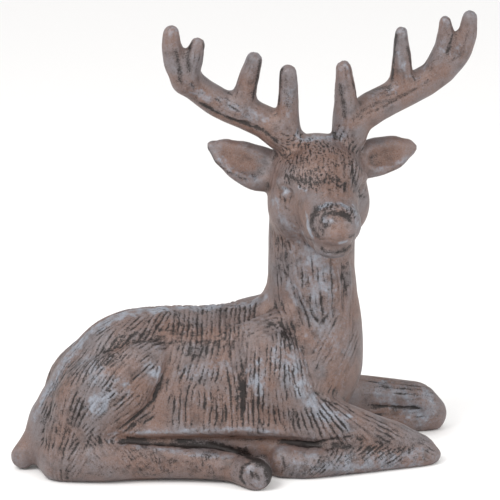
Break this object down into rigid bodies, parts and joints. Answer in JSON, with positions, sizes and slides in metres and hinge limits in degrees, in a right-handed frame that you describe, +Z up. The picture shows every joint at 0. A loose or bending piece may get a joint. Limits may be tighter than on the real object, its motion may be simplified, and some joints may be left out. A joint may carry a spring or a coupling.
{
  "type": "stag statue",
  "caption": "Cast iron stag lying with its legs folded under it, head turned to one side and antlers raised, with carved fur and a rubbed brown finish.",
  "frame": {"origin": "on the ground, under the middle of the figure's bounding box", "axes": "+Z up; +X along the body from the tail to the knees of the forelegs; the head looks out towards -Y"},
  "size_m": [0.4232, 0.2126, 0.4085],
  "materials": {
    "iron": "brown paint rubbed back to dull grey iron"
  },
  "bodies": {
    "root": {"stag": "iron"}
  },
  "joints": []
}
